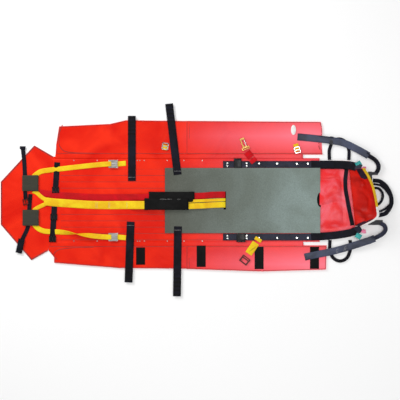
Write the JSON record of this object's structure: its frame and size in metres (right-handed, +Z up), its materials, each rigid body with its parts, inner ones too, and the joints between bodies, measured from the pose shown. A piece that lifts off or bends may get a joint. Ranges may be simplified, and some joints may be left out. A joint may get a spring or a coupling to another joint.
{
  "type": "rescue stretcher",
  "caption": "Roll-up rescue stretcher laid open: battened back, folding side wings, foot and head hoods, foam mat, webbing straps, lifting and haul loops.",
  "frame": {"origin": "middle of the laid-out stretcher, on its underside", "axes": "+X to the head end, +Y to the patient's right, +Z up from the underside"},
  "size_m": [2.3486, 1.1571, 0.096],
  "materials": {
    "red_fabric": "coated, satin",
    "foam": "closed-cell foam, matt",
    "batten": "matt",
    "yellow_webbing": "woven",
    "red_webbing": "woven",
    "black_webbing": "woven",
    "sleeve_fabric": "matt",
    "steel": "brushed",
    "brass": "polished",
    "black_plastic": "matt",
    "red_plastic": "gloss"
  },
  "bodies": {
    "back": {"base_sheet": "red_fabric", "battens_left": "batten", "battens_right": "batten", "cam_frame_left": "steel", "cam_frame_right": "steel", "centre_strap": "yellow_webbing", "closure_foot_left_inner": "black_webbing", "closure_foot_right_inner": "black_webbing", "closure_middle_left_inner": "black_webbing", "closure_middle_right_inner": "black_webbing", "foam_mat": "foam", "foot_cross_buckles": "black_plastic", "foot_cross_strap": "black_webbing", "foot_strap_left": "yellow_webbing", "foot_strap_right": "yellow_webbing", "head_cross_strap": "black_webbing", "pocket_panel": "red_fabric", "red_strap": "red_webbing", "rivets": "steel", "side_adjusters": "black_plastic", "side_webbing_left": "black_webbing", "side_webbing_right": "black_webbing", "slot_straps": "yellow_webbing", "tow_webbing": "black_webbing"},
    "sleeve_back": {"sleeve_back": "sleeve_fabric"},
    "sleeve_front": {"sleeve_front": "sleeve_fabric"},
    "cam_lever_right": {"cam_lever_right": "steel"},
    "cam_lever_left": {"cam_lever_left": "steel"},
    "wing_right": {"wing_right_panel": "red_fabric", "wing_right_flap_foot": "red_fabric", "wing_right_flap_head": "red_fabric", "closure_foot_right_outer": "black_webbing", "closure_middle_right_outer": "black_webbing", "wing_right_slides": "steel"},
    "wing_left": {"wing_left_panel": "red_fabric", "wing_left_flap_foot": "red_fabric", "wing_left_flap_head": "red_fabric", "closure_foot_left_outer": "black_webbing", "closure_middle_left_outer": "black_webbing", "wing_left_patches": "sleeve_fabric"},
    "tab_right": {"tab_right": "red_webbing", "snap_hook": "brass"},
    "hook_gate": {"hook_gate": "steel"},
    "tab_left": {"tab_left": "yellow_webbing", "receiver": "red_plastic"},
    "lift_right": {"lift_strap_right": "black_webbing", "lift_keeper": "black_webbing"},
    "lift_left": {"lift_strap_left": "black_webbing"},
    "handle_right": {"handle_right": "black_webbing"},
    "handle_left": {"handle_left": "black_webbing"},
    "haul": {"haul_loops": "black_webbing"},
    "foot_hood": {"foot_hood": "red_fabric", "hood_pads": "sleeve_fabric", "hood_strap_right": "black_webbing", "hood_strap_left": "black_webbing", "hood_slide": "black_plastic", "hood_yellow_ends": "yellow_webbing"},
    "head_hood": {"head_hood": "red_fabric", "rim_strap": "yellow_webbing", "hood_corners": "black_webbing"}
  },
  "joints": [
    {"name": "wing_right_fold", "type": "hinge", "parent": "back", "child": "wing_right", "pos_m": [0, 0.26, 0.002], "axis": [1, 0, 0], "range_deg": [0, 105]},
    {"name": "wing_left_fold", "type": "hinge", "parent": "back", "child": "wing_left", "pos_m": [0, -0.26, 0.002], "axis": [-1, 0, 0], "range_deg": [0, 105]},
    {"name": "lift_right_swing", "type": "hinge", "parent": "back", "child": "lift_right", "pos_m": [1.062, 0.15, 0.0112], "axis": [1, 0, 0], "range_deg": [0, 90]},
    {"name": "lift_left_swing", "type": "hinge", "parent": "back", "child": "lift_left", "pos_m": [1.102, -0.119, 0.0112], "axis": [-1, 0, 0], "range_deg": [0, 75]},
    {"name": "handle_right_swing", "type": "hinge", "parent": "back", "child": "handle_right", "pos_m": [0.852, 0.2387, 0.0052], "axis": [1, 0, 0], "range_deg": [0, 90]},
    {"name": "handle_left_swing", "type": "hinge", "parent": "back", "child": "handle_left", "pos_m": [0.852, -0.2387, 0.0052], "axis": [-1, 0, 0], "range_deg": [0, 90]},
    {"name": "tab_right_swing", "type": "hinge", "parent": "back", "child": "tab_right", "pos_m": [0.336, 0.2405, 0.0112], "axis": [1, 0, 0], "range_deg": [0, 105]},
    {"name": "tab_left_swing", "type": "hinge", "parent": "back", "child": "tab_left", "pos_m": [0.362, -0.2405, 0.0112], "axis": [-1, 0, 0], "range_deg": [0, 105]},
    {"name": "hook_gate_open", "type": "hinge", "parent": "tab_right", "child": "hook_gate", "pos_m": [0.29316, 0.33128, 0.012], "axis": [0, 0, 1], "range_deg": [0, 25], "stiffness_Nm_per_rad": 0.02},
    {"name": "cam_lever_right_lift", "type": "hinge", "parent": "back", "child": "cam_lever_right", "pos_m": [-0.51, 0.216, 0.013], "axis": [0, -1, 0], "range_deg": [0, 60]},
    {"name": "cam_lever_left_lift", "type": "hinge", "parent": "back", "child": "cam_lever_left", "pos_m": [-0.51, -0.222, 0.013], "axis": [0, -1, 0], "range_deg": [0, 60]},
    {"name": "foot_hood_fold", "type": "hinge", "parent": "back", "child": "foot_hood", "pos_m": [-0.878, 0, 0.0024], "axis": [0.0619, 0.9981, 0], "range_deg": [0, 90]},
    {"name": "head_hood_fold", "type": "hinge", "parent": "back", "child": "head_hood", "pos_m": [0.932, 0, 0.0015], "axis": [0.1084, -0.9941, 0], "range_deg": [0, 50]},
    {"name": "haul_swing", "type": "hinge", "parent": "back", "child": "haul", "pos_m": [1.05, 0, 0.005], "axis": [0, -1, 0], "range_deg": [0, 60]},
    {"name": "sleeve_back_slide", "type": "slide", "parent": "back", "child": "sleeve_back", "axis": [1, 0, 0], "range_m": [-0.04, 0.04]},
    {"name": "sleeve_front_slide", "type": "slide", "parent": "back", "child": "sleeve_front", "axis": [1, 0, 0], "range_m": [-0.04, 0.04]}
  ],
  "couplings": [
    {"joint": "lift_right_swing", "follows": "wing_right_fold", "ratio": 0.85714},
    {"joint": "handle_right_swing", "follows": "wing_right_fold", "ratio": 0.85714},
    {"joint": "tab_right_swing", "follows": "wing_right_fold", "ratio": 1},
    {"joint": "lift_left_swing", "follows": "wing_left_fold", "ratio": 0.71429},
    {"joint": "handle_left_swing", "follows": "wing_left_fold", "ratio": 0.85714},
    {"joint": "tab_left_swing", "follows": "wing_left_fold", "ratio": 1}
  ]
}
